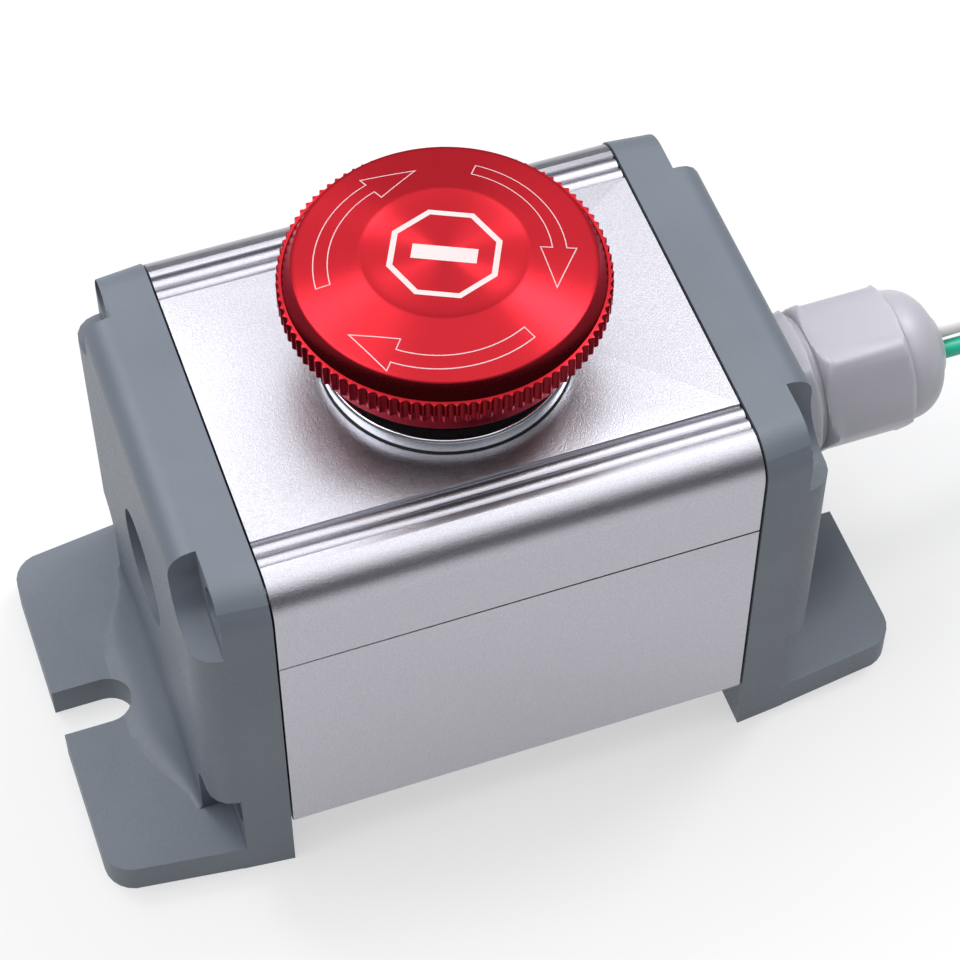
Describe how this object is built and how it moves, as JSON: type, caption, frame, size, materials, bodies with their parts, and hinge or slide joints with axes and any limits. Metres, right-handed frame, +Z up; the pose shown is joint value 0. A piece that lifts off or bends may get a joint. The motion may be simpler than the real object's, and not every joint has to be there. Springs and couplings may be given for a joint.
{
  "type": "emergency stop button",
  "caption": "Emergency stop station: a red twist-release mushroom button on an aluminium extrusion box with moulded end caps, slotted feet and a cable gland.",
  "frame": {"origin": "on the surface that the feet stand on, under the button's axis, which is the middle of the feet's length and width", "axes": "+Z up along the button's axis, +X along the extrusion towards the cable gland, +Y away from the seam side that faces a user standing at -Y"},
  "size_m": [0.1919, 0.079, 0.0774],
  "materials": {
    "anodised_aluminium": "satin bead-blasted and clear anodised",
    "grey_nylon": "blue-grey moulded nylon with a fine texture",
    "red_anodised": "turned and red anodised",
    "chrome": "polished",
    "black_plastic": "moulded black",
    "white_nylon": "moulded white, semi-gloss",
    "rubber": "black sealing rubber",
    "steel": "zinc-plated steel",
    "brass": "plain",
    "contact_housing": "red moulded contact block housing",
    "white_pvc": "white wire insulation",
    "green_pvc": "green wire insulation",
    "tie_black": "black tie"
  },
  "bodies": {
    "housing": {"left_end_cap": "grey_nylon", "left_cap_gasket": "rubber", "left_cap_screw_1": "steel", "left_cap_screw_2": "steel", "left_cap_screw_3": "steel", "left_cap_screw_4": "steel", "right_end_cap": "grey_nylon", "right_cap_gasket": "rubber", "right_cap_screw_1": "steel", "right_cap_screw_2": "steel", "right_cap_screw_3": "steel", "right_cap_screw_4": "steel", "upper_shell": "anodised_aluminium", "lower_shell": "anodised_aluminium", "panel_gasket": "rubber", "bezel_ring": "chrome", "operator_body": "black_plastic", "lock_washer": "steel", "panel_nut": "steel", "mounting_collar": "black_plastic", "latch_ring": "steel", "return_spring": "steel", "contact_block_housing": "contact_housing", "contact_block_cover": "black_plastic", "contact_spring": "steel", "front_fixed_contact": "brass", "front_terminal_clamp": "steel", "front_terminal_screw": "steel", "back_fixed_contact": "brass", "back_terminal_clamp": "steel", "back_terminal_screw": "steel", "gland_body": "white_nylon", "gland_washer": "rubber", "gland_lock_nut": "white_nylon", "gland_seal": "rubber", "gland_dome_nut": "white_nylon", "white_wire_inside": "white_pvc", "white_lead": "white_pvc", "white_coil": "white_pvc", "white_coil_tie": "tie_black", "white_ferrule": "steel", "green_wire_inside": "green_pvc", "green_lead": "green_pvc", "green_coil": "green_pvc", "green_coil_tie": "tie_black", "green_ferrule": "steel"},
    "stem": {"stem": "steel", "stem_circlip": "steel", "latch_collar": "brass"},
    "head": {"mushroom_head": "red_anodised", "head_hub": "black_plastic", "hub_seal": "rubber"},
    "contact_carrier": {"contact_plunger": "white_nylon", "moving_bridge": "brass"}
  },
  "joints": [
    {"name": "head_push", "type": "slide", "parent": "housing", "child": "stem", "axis": [0, 0, -1], "range_m": [0, 0.0045], "stiffness_N_per_m": 1500, "springref_m": -0.008, "deforming": ["return_spring"]},
    {"name": "head_twist", "type": "hinge", "parent": "stem", "child": "head", "pos_m": [0, 0, 0.07], "axis": [0, 0, 1], "range_deg": [-45, 0], "stiffness_Nm_per_rad": 0.05, "springref_deg": 11.46},
    {"name": "contact_slide", "type": "slide", "parent": "housing", "child": "contact_carrier", "axis": [0, 0, -1], "range_m": [0, 0.0045], "deforming": ["contact_spring"]}
  ],
  "couplings": [
    {"joint": "contact_slide", "follows": "head_push", "ratio": 1}
  ]
}
